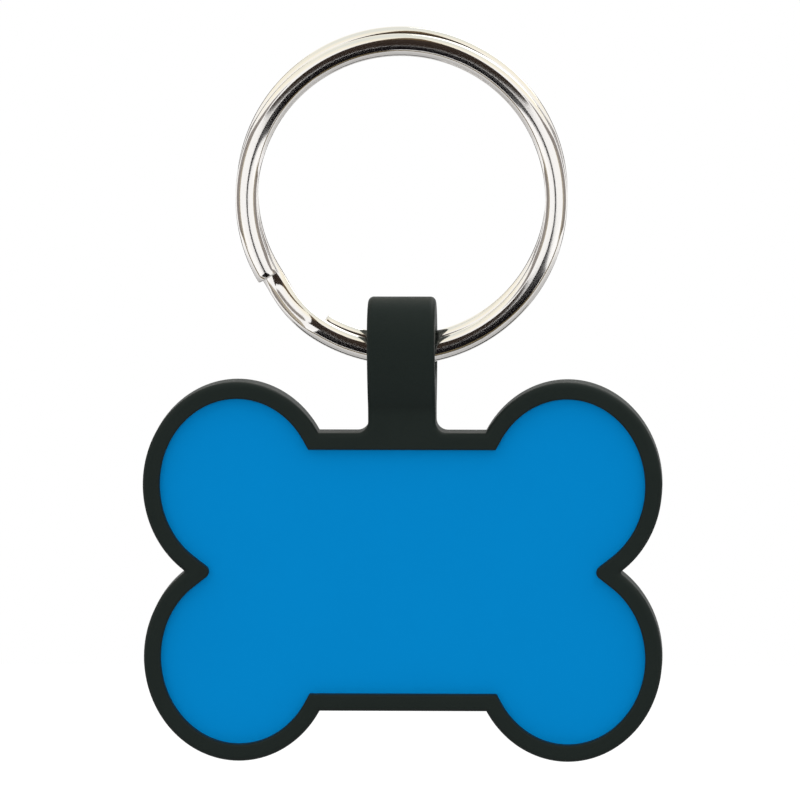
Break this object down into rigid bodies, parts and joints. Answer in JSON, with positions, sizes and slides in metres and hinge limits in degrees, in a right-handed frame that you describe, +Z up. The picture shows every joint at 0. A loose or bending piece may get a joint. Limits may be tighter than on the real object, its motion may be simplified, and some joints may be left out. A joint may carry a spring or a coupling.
{
  "type": "pet id tag",
  "caption": "Bone-shaped hanging tag: a metal plate edged by a moulded rubber frame with a loop, on a double-turn split ring.",
  "frame": {"origin": "the point at the inside top of the split ring where it bears on the collar's ring", "axes": "+Z up as the tag hangs, +X to the right of the front face, -Y out of the front face"},
  "size_m": [0.0392, 0.0062, 0.0556],
  "materials": {
    "rubber": "satin moulded silicone rubber, nearly black",
    "anodised_plate": "fine satin, anodised blue",
    "nickel": "bright nickel plate on spring steel"
  },
  "bodies": {
    "ring": {"split_ring": "nickel"},
    "tag": {"silicone_frame": "rubber", "id_plate": "anodised_plate"}
  },
  "joints": [
    {"name": "tag_swing", "type": "hinge", "parent": "ring", "child": "tag", "pos_m": [0, 0, -0.02247], "axis": [1, 0, 0], "range_deg": [-138, 138]}
  ]
}
